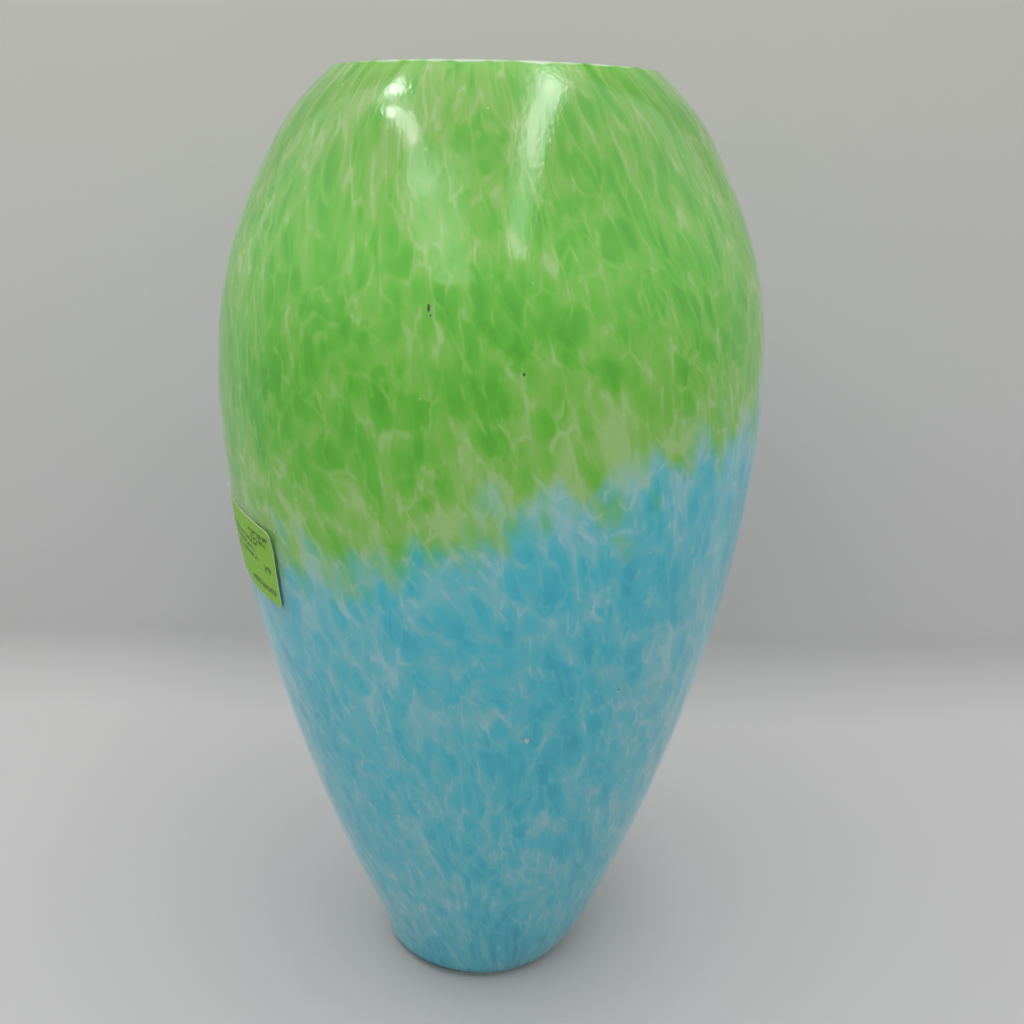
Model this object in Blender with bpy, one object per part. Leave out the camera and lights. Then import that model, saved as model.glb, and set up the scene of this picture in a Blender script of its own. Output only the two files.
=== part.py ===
"""Hand blown cased art glass vase, modelled as its layers of glass and its price label.

Units are metres and +Z is up. The origin is on the table, under the middle of the foot. The vase is a
turned shape: an opal glass lining with a thick floor, a layer of turquoise frit round its lower part, a
layer of green frit on its upper part, and a clear casing over all of them, which is also the ground foot.
The layers are fused on a real vase. Here a hairline gap keeps each one a solid of its own.
"""

import math

import bmesh
import bpy
import numpy as np

# Outside of the vase
HEIGHT = 0.305
FOOT_RADIUS = 0.0285  # outer edge of the ground foot ring
HEEL_RADIUS = 0.008  # rounding between the foot ring and the side
HEEL_LEAN = math.radians(22)  # lean of the side where that rounding ends
SIDE_KNOTS = (  # (height, radius) of the points that the side passes through
    (0.045, 0.0519),
    (0.110, 0.0720),
    (0.160, 0.0826),
    (0.210, 0.0866),
    (0.250, 0.0817),
    (0.280, 0.0690),
    (0.295, 0.0592),
    (0.305, 0.0489),
)
DIMPLE_RADIUS = 0.019  # polished hollow left where the pontil was ground away
DIMPLE_DEPTH = 0.0012

# Layers of glass, measured square to the surface
CASING_WALL = 0.0022
FRIT_WALL = 0.0008
LINING_WALL = 0.0016
GAP = 0.0003
COLOUR_FLOOR = 0.003  # thickness of the clear glass under the colour
COLOUR_CORNER = 0.008  # rounding of the colour between its floor and its side, carried out to the surface
INSIDE_FLOOR = 0.012  # height of the floor inside the vase
INSIDE_CORNER = 0.024  # rounding of that floor into the side, carried out to the surface

# Line where the green frit meets the turquoise frit: it tilts up towards +X
MEETING_HEIGHT = 0.186
MEETING_RISE = 0.027
MEETING_WAVE = 0.003
MEETING_WAVES = 7

# Paper label, a standard 2 by 1 inch size
LABEL_WIDTH = 0.0508
LABEL_HEIGHT = 0.0254
LABEL_CORNER = 0.002
LABEL_THICKNESS = 0.0003
LABEL_MIDDLE = 0.1665  # height of its middle
LABEL_TURN = math.radians(-64)  # its place round the vase, from -Y towards +X
LABEL_TILT = math.radians(-4)
LABEL_COLUMNS = 12
LABEL_ROWS = 4
LABEL_CORNER_STEPS = 3

# Fineness of the turned solids
SEGMENTS = 36
HEEL_STEPS = 4
CORNER_STEPS = 5
DIMPLE_STEP = 0.6  # where the middle ring of the hollow lies, as a share of its radius
LOW_STATIONS_TOP = 0.100
HIGH_STATIONS_BASE = 0.225
HIGH_STATIONS_TOP = 0.298
LOW_STATIONS = 6
MIDDLE_STATIONS = 8
GREEN_STATIONS = 3
HIGH_STATIONS = 6
SHARP_ANGLE = math.radians(35)
SETTLING_ROUNDS = 30  # rounds in which a point moves along the side until it lies at its height


def clear_scene():
    for old in list(bpy.data.objects):
        bpy.data.objects.remove(old)


def cubic_spline(knots, start_slope):
    """A smooth curve through the knots, as a function from height to (radius, slope).

    It leaves the first knot at start_slope, and runs out straight at the last one.
    """
    heights, radii = np.array(knots).T
    steps = np.diff(heights)
    rises = np.diff(radii) / steps
    last = len(heights) - 1
    matrix = np.zeros((last + 1, last + 1))
    target = np.zeros(last + 1)
    matrix[0, :2] = 2 * steps[0], steps[0]
    target[0] = 6 * (rises[0] - start_slope)
    for i in range(1, last):
        matrix[i, i - 1 : i + 2] = steps[i - 1], 2 * (steps[i - 1] + steps[i]), steps[i]
        target[i] = 6 * (rises[i] - rises[i - 1])
    matrix[last, last] = 1
    bends = np.linalg.solve(matrix, target)

    def at(height):
        i = int(np.clip(np.searchsorted(heights, height) - 1, 0, last - 1))
        along = height - heights[i]
        twist = (bends[i + 1] - bends[i]) / steps[i]
        start = rises[i] - steps[i] * (2 * bends[i] + bends[i + 1]) / 6
        radius = radii[i] + along * (start + along * (bends[i] / 2 + along * twist / 6))
        slope = start + along * (bends[i] + along * twist / 2)
        return float(radius), float(slope)

    return at


heel_end = (
    HEEL_RADIUS * (1 - math.sin(HEEL_LEAN)),
    FOOT_RADIUS + HEEL_RADIUS * math.cos(HEEL_LEAN),
)
side = cubic_spline((heel_end,) + SIDE_KNOTS, math.tan(HEEL_LEAN))


def side_point(height, depth):
    """(radius, height) of the point that lies depth inside the outer side, square to it."""
    radius, slope = side(height)
    length = math.hypot(1, slope)
    return radius - depth / length, height + depth * slope / length


def rim_point(depth):
    """Where the line at this depth meets the flat ground rim."""
    height = HEIGHT
    for _ in range(SETTLING_ROUNDS):
        height += HEIGHT - side_point(height, depth)[1]
    return side_point(height, depth)[0], HEIGHT


def arc(centre, radius, start, end, steps):
    """Points along an arc, its end points among them."""
    angles = np.linspace(start, end, steps + 1)
    return [
        (centre[0] + radius * math.cos(a), centre[1] + radius * math.sin(a))
        for a in angles
    ]


FRIT_OUTER = CASING_WALL + GAP
FRIT_INNER = FRIT_OUTER + FRIT_WALL
LINING_OUTER = FRIT_INNER + GAP
LINING_INNER = LINING_OUTER + LINING_WALL

middle_stations = list(
    np.linspace(LOW_STATIONS_TOP, HIGH_STATIONS_BASE, MIDDLE_STATIONS + 1)
)[1:-1]
high_stations = list(
    np.linspace(HIGH_STATIONS_BASE, HIGH_STATIONS_TOP, HIGH_STATIONS + 1)
)


def low_stations(start):
    """Heights from just over start up to the middle of the side."""
    return list(np.linspace(start, LOW_STATIONS_TOP, LOW_STATIONS + 1))[1:]


def floor_line(depth, floor_height, corner):
    """A floor at this depth from the axis out and round its corner, and the height where that ends."""
    lean = HEEL_LEAN
    for _ in range(SETTLING_ROUNDS):
        top = floor_height - depth + corner * (1 - math.sin(lean))
        radius, slope = side(top)
        lean = math.atan(slope)
    centre = (radius - corner * math.cos(lean), floor_height - depth + corner)
    bend = arc(centre, corner - depth, -math.pi / 2, -lean, CORNER_STEPS)
    return [(0.0, bend[0][1])] + bend, top


def colour_floor(depth):
    """The floor line of a layer that lies at this depth beside the colour."""
    return floor_line(depth, COLOUR_FLOOR - CASING_WALL + depth, COLOUR_CORNER)


def side_line(heights, depth):
    return [side_point(height, depth) for height in heights]


def meeting_line(angle):
    """Height where the two colours meet, at an angle turned from +X towards +Y."""
    tilt = MEETING_RISE * math.cos(angle)
    return MEETING_HEIGHT + tilt + MEETING_WAVE * math.sin(MEETING_WAVES * angle)


def casing_section(_angle):
    """Half section of the clear casing, from the axis under the foot round to the axis on its floor."""
    hollow = DIMPLE_DEPTH * (1 - DIMPLE_STEP**2)
    dimple = [(0.0, DIMPLE_DEPTH), (DIMPLE_RADIUS * DIMPLE_STEP, hollow)]
    foot = [(DIMPLE_RADIUS, 0.0)]
    heel = arc(
        (FOOT_RADIUS, HEEL_RADIUS), HEEL_RADIUS, -math.pi / 2, -HEEL_LEAN, HEEL_STEPS
    )
    upper = middle_stations + high_stations
    outer = side_line(low_stations(heel_end[0]) + upper, 0.0) + [rim_point(0.0)]
    inner, top = colour_floor(CASING_WALL)
    inner += side_line(low_stations(top) + upper, CASING_WALL) + [rim_point(CASING_WALL)]
    return dimple + foot + heel + outer + inner[::-1]


def lining_section(_angle):
    """Half section of the opal lining, with its outside first."""
    upper = middle_stations + high_stations
    outer, top = colour_floor(LINING_OUTER)
    outer += side_line(low_stations(top) + upper, LINING_OUTER) + [rim_point(LINING_OUTER)]
    inner, top = floor_line(LINING_INNER, INSIDE_FLOOR, INSIDE_CORNER)
    inner += side_line(low_stations(top) + upper, LINING_INNER) + [rim_point(LINING_INNER)]
    return outer + inner[::-1]


def turquoise_section(angle):
    """Half section of the turquoise cup, which ends square to the side under the meeting line."""
    end = meeting_line(angle) - GAP / 2
    rising = list(np.linspace(LOW_STATIONS_TOP, end, MIDDLE_STATIONS))[1:]
    lines = []
    for depth in (FRIT_OUTER, FRIT_INNER):
        floor, top = colour_floor(depth)
        lines.append(floor + side_line(low_stations(top) + rising, depth))
    return lines[0] + lines[1][::-1]


def green_section(angle):
    """Section of the green sleeve, up its outside from the meeting line to the rim and back down."""
    start = meeting_line(angle) + GAP / 2
    heights = list(np.linspace(start, HIGH_STATIONS_BASE, GREEN_STATIONS + 1))[:-1]
    heights += high_stations
    outer = side_line(heights, FRIT_OUTER) + [rim_point(FRIT_OUTER)]
    inner = side_line(heights, FRIT_INNER) + [rim_point(FRIT_INNER)]
    return outer + inner[::-1]


def link_closed(name, bm, material):
    """Links a closed bmesh as a named object, with its faces pointing out and its edges kept crisp."""
    bmesh.ops.recalc_face_normals(bm, faces=bm.faces)
    mesh = bpy.data.meshes.new(name)
    bm.to_mesh(mesh)
    bm.free()
    mesh.shade_smooth()
    mesh.set_sharp_from_angle(angle=SHARP_ANGLE)
    mesh.materials.append(material)
    bpy.context.scene.collection.objects.link(bpy.data.objects.new(name, mesh))


def turned_solid(name, section, material):
    """A solid of revolution whose half section may change round the axis.

    section(angle) gives the same number of (radius, height) points at every angle. A section that starts
    and ends on the axis closes there, and any other is closed from its last point to its first.
    """
    bm = bmesh.new()
    angles = [2 * math.pi * k / SEGMENTS for k in range(SEGMENTS)]
    sections = [section(angle) for angle in angles]
    touches_axis = sections[0][0][0] == 0.0
    rings = []
    for i in range(len(sections[0])):
        if sections[0][i][0] == 0.0:
            rings.append([bm.verts.new((0.0, 0.0, sections[0][i][1]))] * SEGMENTS)
            continue
        ring = []
        for angle, points in zip(angles, sections):
            radius, height = points[i]
            ring.append(
                bm.verts.new((radius * math.cos(angle), radius * math.sin(angle), height))
            )
        rings.append(ring)
    pairs = list(zip(rings, rings[1:]))
    if not touches_axis:
        pairs.append((rings[-1], rings[0]))
    for low, high in pairs:
        for k in range(SEGMENTS):
            following = (k + 1) % SEGMENTS
            corners = [low[k], low[following], high[following], high[k]]
            bm.faces.new(list(dict.fromkeys(corners)))
    link_closed(name, bm, material)


def label_point(across, up, lift):
    """A point of the label, from its place on the flat paper to the wrapped one, lift above the glass."""
    right = across * math.cos(LABEL_TILT) - up * math.sin(LABEL_TILT)
    rise = across * math.sin(LABEL_TILT) + up * math.cos(LABEL_TILT)
    middle_radius, middle_slope = side(LABEL_MIDDLE)
    height = LABEL_MIDDLE + rise / math.hypot(1, middle_slope)
    turn = LABEL_TURN + right / middle_radius
    radius, level = side_point(height, -lift)
    return radius * math.sin(turn), -radius * math.cos(turn), level


def label_solid(material):
    """The paper label: a sheet with round corners, wrapped on the side of the vase."""
    bm = bmesh.new()
    half_width = LABEL_WIDTH / 2
    half_height = LABEL_HEIGHT / 2
    turns = [math.pi / 2 * step / LABEL_CORNER_STEPS for step in range(LABEL_CORNER_STEPS)]
    ends = [half_width - LABEL_CORNER * (1 - math.cos(turn)) for turn in turns]
    inner = np.linspace(-half_width + LABEL_CORNER, half_width - LABEL_CORNER, LABEL_COLUMNS + 1)
    columns = [-end for end in ends] + list(inner) + ends[::-1]
    sheets = []
    for lift in (GAP, GAP + LABEL_THICKNESS):
        sheet = []
        for across in columns:
            past = max(abs(across) - (half_width - LABEL_CORNER), 0.0)
            cut = LABEL_CORNER - math.sqrt(max(LABEL_CORNER**2 - past**2, 0.0))
            reach = half_height - cut
            rows = np.linspace(-reach, reach, LABEL_ROWS + 1)
            sheet.append([bm.verts.new(label_point(across, up, lift)) for up in rows])
        sheets.append(sheet)
    under, over = sheets
    for c in range(len(columns) - 1):
        for r in range(LABEL_ROWS):
            for sheet in sheets:
                bm.faces.new(
                    (sheet[c][r], sheet[c + 1][r], sheet[c + 1][r + 1], sheet[c][r + 1])
                )
        for r in (0, LABEL_ROWS):
            bm.faces.new((under[c][r], under[c + 1][r], over[c + 1][r], over[c][r]))
    for c in (0, len(columns) - 1):
        for r in range(LABEL_ROWS):
            bm.faces.new((under[c][r], under[c][r + 1], over[c][r + 1], over[c][r]))
    link_closed("price_label", bm, material)


def principled(name, colour, roughness, transmission=0.0):
    material = bpy.data.materials.new(name)
    material.use_nodes = True
    shader = material.node_tree.nodes["Principled BSDF"]
    shader.inputs["Base Color"].default_value = (*colour, 1.0)
    shader.inputs["Roughness"].default_value = roughness
    shader.inputs["Metallic"].default_value = 0.0
    shader.inputs["Transmission Weight"].default_value = transmission
    return material


clear_scene()
turned_solid(
    "clear_casing", casing_section, principled("clear glass", (0.95, 0.98, 0.97), 0.02, 1.0)
)
turned_solid(
    "green_frit_layer", green_section, principled("green glass", (0.13, 0.42, 0.07), 0.1)
)
turned_solid(
    "turquoise_frit_layer",
    turquoise_section,
    principled("turquoise glass", (0.08, 0.36, 0.45), 0.1),
)
turned_solid(
    "opal_lining", lining_section, principled("opal glass", (0.86, 0.88, 0.85), 0.12)
)
label_solid(principled("lime paper", (0.28, 0.55, 0.06), 0.6))
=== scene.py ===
# %% [markdown]
# # A hand blown art glass vase
# A vase like this starts as a gather of white opal glass on the end of a blowpipe. The hot gather is
# rolled in crushed coloured glass, called frit: turquoise on one half and green on the other. A last
# gather of clear glass goes over everything, and then the bubble is blown, swung and shaped, so the chips
# of frit melt and stretch into soft long flakes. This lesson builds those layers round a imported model
# that fixes the sizes. Lengths are in metres, and +Z is up.

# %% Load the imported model
import math

import bmesh
import bpy
import numpy as np
from mathutils import Matrix, Vector, noise
from mathutils.bvhtree import BVHTree


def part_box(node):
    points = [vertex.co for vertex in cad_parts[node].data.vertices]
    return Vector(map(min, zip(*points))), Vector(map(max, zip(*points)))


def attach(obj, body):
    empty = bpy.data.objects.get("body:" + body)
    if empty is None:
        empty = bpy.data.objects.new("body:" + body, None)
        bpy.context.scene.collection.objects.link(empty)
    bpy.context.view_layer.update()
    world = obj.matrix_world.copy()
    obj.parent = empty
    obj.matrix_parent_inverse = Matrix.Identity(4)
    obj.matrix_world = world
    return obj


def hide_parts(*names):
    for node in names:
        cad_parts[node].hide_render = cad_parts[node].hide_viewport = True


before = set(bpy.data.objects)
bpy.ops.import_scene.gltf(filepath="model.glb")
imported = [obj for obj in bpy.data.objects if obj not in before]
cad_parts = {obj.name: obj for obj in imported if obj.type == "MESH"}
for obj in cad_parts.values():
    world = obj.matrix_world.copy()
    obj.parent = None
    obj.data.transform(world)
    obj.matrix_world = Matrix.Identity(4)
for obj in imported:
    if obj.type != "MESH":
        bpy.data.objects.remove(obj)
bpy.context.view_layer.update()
scene = bpy.context.scene
print("packed nodes:", sorted(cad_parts))

# %% [markdown]
# ## Camera
# The camera comes first, so that every later step can be judged from where the vase is seen. It stands
# close, a hand's breadth under the height of the rim, and looks down a little: close up, the round
# belly looks larger than the foot, and the rim shows only as a line.

# %% Place the camera
CAMERA_PLACE = Vector((0.0073, -0.355, 0.285))
LOOK_DOWN = math.radians(18.6)
CAMERA_ROLL = math.radians(1.2)

lens = bpy.data.cameras.new("camera")
lens.lens = 38.7
lens.sensor_width = 36
lens.clip_start = 0.01
camera = bpy.data.objects.new("camera", lens)
turn = Matrix.Rotation(math.pi / 2 - LOOK_DOWN, 4, "X") @ Matrix.Rotation(CAMERA_ROLL, 4, "Z")
camera.matrix_world = Matrix.Translation(CAMERA_PLACE) @ turn
scene.collection.objects.link(camera)
scene.camera = camera
scene.view_settings.view_transform = "Standard"
print("camera to axis in mm:", round(-1000 * CAMERA_PLACE.y))

# %% [markdown]
# ## Five helpers
# Every tree of nodes in this lesson is written with one function, which adds a node, sets its
# properties and feeds its inputs with values or with another node's output. Colours are written as the
# hex values a colour picker shows, and a second function turns them into the linear light that Blender
# mixes in. A third sets the colours along a ramp. A fourth starts a finish: what is the same all over it
# is set on its shader. The last puts a mesh in the scene as an object at the origin.


# %% Helpers for nodes, colours, finishes and objects
def add(tree, kind, inputs=None, **settings):
    """Adds a node: settings are its properties, inputs its values or the sockets that feed it."""
    made = tree.nodes.new(kind)
    for name, value in settings.items():
        setattr(made, name, value)
    for key, value in (inputs or {}).items():
        if isinstance(value, bpy.types.NodeSocket):
            tree.links.new(value, made.inputs[key])
        else:
            made.inputs[key].default_value = value
    return made


def linear(hex_colour):
    """A hex colour as (r, g, b, 1) in linear light."""
    parts = [int(hex_colour[i : i + 2], 16) / 255 for i in (1, 3, 5)]
    return (*(c / 12.92 if c <= 0.04045 else ((c + 0.055) / 1.055) ** 2.4 for c in parts), 1.0)


def set_stops(ramp, stops):
    """Gives a colour ramp these (share, hex colour) stops, and returns the socket of its colour."""
    elements = ramp.color_ramp.elements
    elements[0].color = linear(stops[0][1])
    elements[1].color = linear(stops[-1][1])
    for share, colour in stops[1:-1]:
        elements.new(share).color = linear(colour)
    return ramp.outputs[0]


def new_finish(name, values):
    """A new material, with these values on its shader's sockets, as (material, tree, shader)."""
    material = bpy.data.materials.new(name)
    material.use_nodes = True
    shader = material.node_tree.nodes["Principled BSDF"]
    for socket, value in values.items():
        shader.inputs[socket].default_value = value
    return material, material.node_tree, shader


def put_in_scene(name, mesh):
    made = bpy.data.objects.new(name, mesh)
    scene.collection.objects.link(made)
    return made


print("lime label colour in linear light:", [round(part, 3) for part in linear("#70a81f")])

# %% [markdown]
# ## The outline
# Blown and turned glass is round, so one outline gives its whole shape: a small flat foot, a heel
# rounded where the glass met the marver, a side that swells slowly to the shoulder and then closes
# quickly to a wide mouth. The side is a cubic spline through a few points, because a spline has no
# kinks, and a kink would show at once in the reflections. Each layer of glass is the same line, moved
# inwards square to the surface.

# %% The outline of the vase
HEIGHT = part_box("clear_casing")[1].z
FOOT_RADIUS = 0.0285
HEEL_RADIUS = 0.008
HEEL_LEAN = math.radians(22)
SIDE_KNOTS = (  # height and radius
    (0.045, 0.0519),
    (0.110, 0.0720),
    (0.160, 0.0826),
    (0.210, 0.0866),
    (0.250, 0.0817),
    (0.280, 0.0690),
    (0.295, 0.0592),
    (0.305, 0.0489),
)


def cubic_spline(knots, start_slope):
    """A smooth curve through (height, radius) knots, as a function from height to (radius, slope)."""
    heights, radii = np.array(knots).T
    steps = np.diff(heights)
    rises = np.diff(radii) / steps
    last = len(heights) - 1
    matrix = np.zeros((last + 1, last + 1))
    target = np.zeros(last + 1)
    matrix[0, :2] = 2 * steps[0], steps[0]
    target[0] = 6 * (rises[0] - start_slope)
    for i in range(1, last):
        matrix[i, i - 1 : i + 2] = steps[i - 1], 2 * (steps[i - 1] + steps[i]), steps[i]
        target[i] = 6 * (rises[i] - rises[i - 1])
    matrix[last, last] = 1
    bends = np.linalg.solve(matrix, target)

    def at(height):
        i = int(np.clip(np.searchsorted(heights, height) - 1, 0, last - 1))
        along = height - heights[i]
        twist = (bends[i + 1] - bends[i]) / steps[i]
        start = rises[i] - steps[i] * (2 * bends[i] + bends[i + 1]) / 6
        radius = radii[i] + along * (start + along * (bends[i] / 2 + along * twist / 6))
        return float(radius), float(start + along * (bends[i] + along * twist / 2))

    return at


heel_top = HEEL_RADIUS * (1 - math.sin(HEEL_LEAN))
heel_out = FOOT_RADIUS + HEEL_RADIUS * math.cos(HEEL_LEAN)
side = cubic_spline(((heel_top, heel_out),) + SIDE_KNOTS, math.tan(HEEL_LEAN))
print("widest radius in mm:", round(1000 * max(side(h)[0] for h in np.linspace(0.19, 0.23, 40)), 1))

# %% [markdown]
# Each layer's line is read off that side: a point square to it at some depth, the height where the line
# reaches the flat rim, and a floor with a rounded corner. The floors are set here too: the colour lies on
# thin clear glass, and the opal floor over it is thick, as the first gather always is at its tip.

# %% The lines of the layers
CASING_WALL = 0.0022
COLOUR_FLOOR = 0.003
COLOUR_CORNER = 0.008
INSIDE_FLOOR = 0.012
INSIDE_CORNER = 0.024
SETTLING_ROUNDS = 30
GROUND_EDGE = math.radians(25)


def side_point(height, depth):
    """(radius, height) of the point that lies depth inside the outer side, square to it."""
    radius, slope = side(height)
    length = math.hypot(1, slope)
    return radius - depth / length, height + depth * slope / length


def rim_height(depth):
    """How far up the outer side the line at this depth reaches the flat rim."""
    height = HEIGHT
    for _ in range(SETTLING_ROUNDS):
        height += HEIGHT - side_point(height, depth)[1]
    return height


def arc(centre, radius, start, end, steps):
    angles = np.linspace(start, end, steps + 1)
    return [(centre[0] + radius * math.cos(a), centre[1] + radius * math.sin(a)) for a in angles]


def floor_line(depth, floor_height, corner_radius):
    """The line at this depth from the axis across a floor and round its corner, with where it ends."""
    floor = floor_height - depth
    lean = HEEL_LEAN
    for _ in range(SETTLING_ROUNDS):
        height = floor + corner_radius * (1 - math.sin(lean))
        radius, slope = side(height)
        lean = math.atan(slope)
    centre = (radius - corner_radius * math.cos(lean), floor + corner_radius)
    bend = arc(centre, corner_radius - depth, -math.pi / 2, -lean, 16)
    flat = [(bend[0][0] * share, bend[0][1]) for share in (0.0, 0.1, 0.3, 0.6, 0.9)]
    return flat + bend[:-1], height


def side_line(low, high, depth, row=0.002):
    """The line at this depth between two heights, with a point about every row."""
    heights = np.linspace(low, high, max(int((high - low) / row), 2) + 1)
    return [side_point(height, depth) for height in heights]


def eased(points, reach):
    """The same line with every sharp edge ground to a small round."""
    line = [np.array(point) for point in points]
    result = [line[0]]
    for before, corner, after in zip(line, line[1:], line[2:]):
        into = (corner - before) / np.linalg.norm(corner - before)
        out = (after - corner) / np.linalg.norm(after - corner)
        if into @ out > math.cos(GROUND_EDGE):
            result.append(corner)
            continue
        near = min(reach, np.linalg.norm(corner - before) * 0.45)
        far = min(reach, np.linalg.norm(after - corner) * 0.45)
        start, end = corner - into * near, corner + out * far
        for t in np.linspace(0, 1, 7):
            result.append(start * (1 - t) ** 2 + corner * 2 * t * (1 - t) + end * t**2)
    result.append(line[-1])
    return [tuple(point) for point in result]


rim_inside = side_point(rim_height(CASING_WALL), CASING_WALL)[0]
print("clear glass across the rim in mm:", round(1000 * (side(HEIGHT)[0] - rim_inside), 1))

# %% [markdown]
# ## Turning the glass
# The shape follows a rule, so one Geometry Nodes tree turns every layer. It lays a grid with one row for
# each point of the outline, and works out from a grid point's number its row and its angle round the
# axis. The tree has named inputs for its sizes, and is built over the next cells.


# %% The tree's inputs and its grid
def shape_tree(name, kinds, result):
    """A new Geometry Nodes tree that gives one shape, and the sockets of its inputs."""
    tree = bpy.data.node_groups.new(name, "GeometryNodeTree")
    tree.is_modifier = True
    for label, kind in kinds.items():
        tree.interface.new_socket(label, in_out="INPUT", socket_type="NodeSocket" + kind)
    tree.interface.new_socket(result, in_out="OUTPUT", socket_type="NodeSocketGeometry")
    return tree, add(tree, "NodeGroupInput").outputs


INPUTS = {
    "Outline": "Geometry",
    "Segments": "Int",
    "Wobble": "Float",
    "Wobble Size": "Float",
    "Meeting Offset": "Float",
    "Meeting Rise": "Float",
    "Meeting Wave": "Float",
    "Meeting Waves": "Float",
    "Row Height": "Float",
    "Foot Shift": "Float",
    "Foot Reach": "Float",
    "Finish": "Material",
}
TURNING, given = shape_tree("turned glass", INPUTS, "Glass")


def lay_grid(tree):
    """The sockets of a grid, and of each of its points' row, angle, cosine and sine."""
    size = add(tree, "GeometryNodeAttributeDomainSize", {0: given["Outline"]}, component="MESH")
    rows = size.outputs["Point Count"]
    inputs = {0: given["Segments"], 1: 1.0}
    columns = add(tree, "ShaderNodeMath", inputs, operation="ADD").outputs[0]
    inputs = {"Size X": 1.0, "Size Y": 1.0, "Vertices X": columns, "Vertices Y": rows}
    grid = add(tree, "GeometryNodeMeshGrid", inputs).outputs[0]
    index = add(tree, "GeometryNodeInputIndex").outputs[0]
    share = add(tree, "ShaderNodeMath", {0: index, 1: rows}, operation="DIVIDE").outputs[0]
    column = add(tree, "ShaderNodeMath", {0: share}, operation="FLOOR").outputs[0]
    row = add(tree, "ShaderNodeMath", {0: index, 1: rows}, operation="MODULO").outputs[0]
    inputs = {0: column, 1: given["Segments"]}
    turn_share = add(tree, "ShaderNodeMath", inputs, operation="DIVIDE").outputs[0]
    inputs = {0: turn_share, 1: math.tau}
    angle = add(tree, "ShaderNodeMath", inputs, operation="MULTIPLY").outputs[0]
    cosine = add(tree, "ShaderNodeMath", {0: angle}, operation="COSINE").outputs[0]
    sine = add(tree, "ShaderNodeMath", {0: angle}, operation="SINE").outputs[0]
    return grid, row, angle, cosine, sine


grid, row, angle, cosine, sine = lay_grid(TURNING)
print("inputs of the tree:", ", ".join(INPUTS))

# %% [markdown]
# Where two colours meet, the line climbs round the vase in a slow wave, so the tree can slide rows of
# the outline up and down. It reads the outline between two of its points, so that a row may slide by
# any part of a step, and an attribute of the outline says how far each row may go.


# %% Read the outline with its rows slid
def outline_place(tree):
    """The sockets of the outline's radius, zero and height at each grid point."""
    inputs = {0: cosine, 1: given["Meeting Rise"], 2: given["Meeting Offset"]}
    climb = add(tree, "ShaderNodeMath", inputs, operation="MULTIPLY_ADD").outputs[0]
    inputs = {0: angle, 1: given["Meeting Waves"]}
    wave = add(tree, "ShaderNodeMath", inputs, operation="MULTIPLY").outputs[0]
    wave = add(tree, "ShaderNodeMath", {0: wave}, operation="SINE").outputs[0]
    inputs = {0: wave, 1: given["Meeting Wave"], 2: climb}
    climb = add(tree, "ShaderNodeMath", inputs, operation="MULTIPLY_ADD").outputs[0]
    inputs = {0: climb, 1: given["Row Height"]}
    climb = add(tree, "ShaderNodeMath", inputs, operation="DIVIDE").outputs[0]
    slide = add(tree, "GeometryNodeInputNamedAttribute", {"Name": "slide"}, data_type="FLOAT").outputs[0]
    inputs = {"Geometry": given["Outline"], "Value": slide, "Index": row}
    slide = add(tree, "GeometryNodeSampleIndex", inputs, data_type="FLOAT").outputs[0]
    inputs = {0: slide, 1: climb, 2: row}
    place = add(tree, "ShaderNodeMath", inputs, operation="MULTIPLY_ADD").outputs[0]
    lower = add(tree, "ShaderNodeMath", {0: place}, operation="FLOOR").outputs[0]
    upper = add(tree, "ShaderNodeMath", {0: lower, 1: 1.0}, operation="ADD").outputs[0]
    between = add(tree, "ShaderNodeMath", {0: place, 1: lower}, operation="SUBTRACT").outputs[0]
    position = add(tree, "GeometryNodeInputPosition").outputs[0]
    reading = {"data_type": "FLOAT_VECTOR", "clamp": True}
    ends = []
    for step in (lower, upper):
        inputs = {"Geometry": given["Outline"], "Value": position, "Index": step}
        ends.append(add(tree, "GeometryNodeSampleIndex", inputs, **reading).outputs[0])
    inputs = {"Factor": between, 4: ends[0], 5: ends[1]}
    point = add(tree, "ShaderNodeMix", inputs, data_type="VECTOR").outputs[1]
    return add(tree, "ShaderNodeSeparateXYZ", {0: point}).outputs


point = outline_place(TURNING)
print("nodes in the tree so far:", len(TURNING.nodes))

# %% [markdown]
# Blown glass is never quite true, so the same slow noise moves all the layers a fraction of a
# millimetre in and out together, and the foot stands a little off the axis. Then the grid is bent round,
# and its two ends and its poles are welded.

# %% Bend the grid into glass
USUAL_RADIUS = 0.08
WELD = 4e-6


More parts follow.
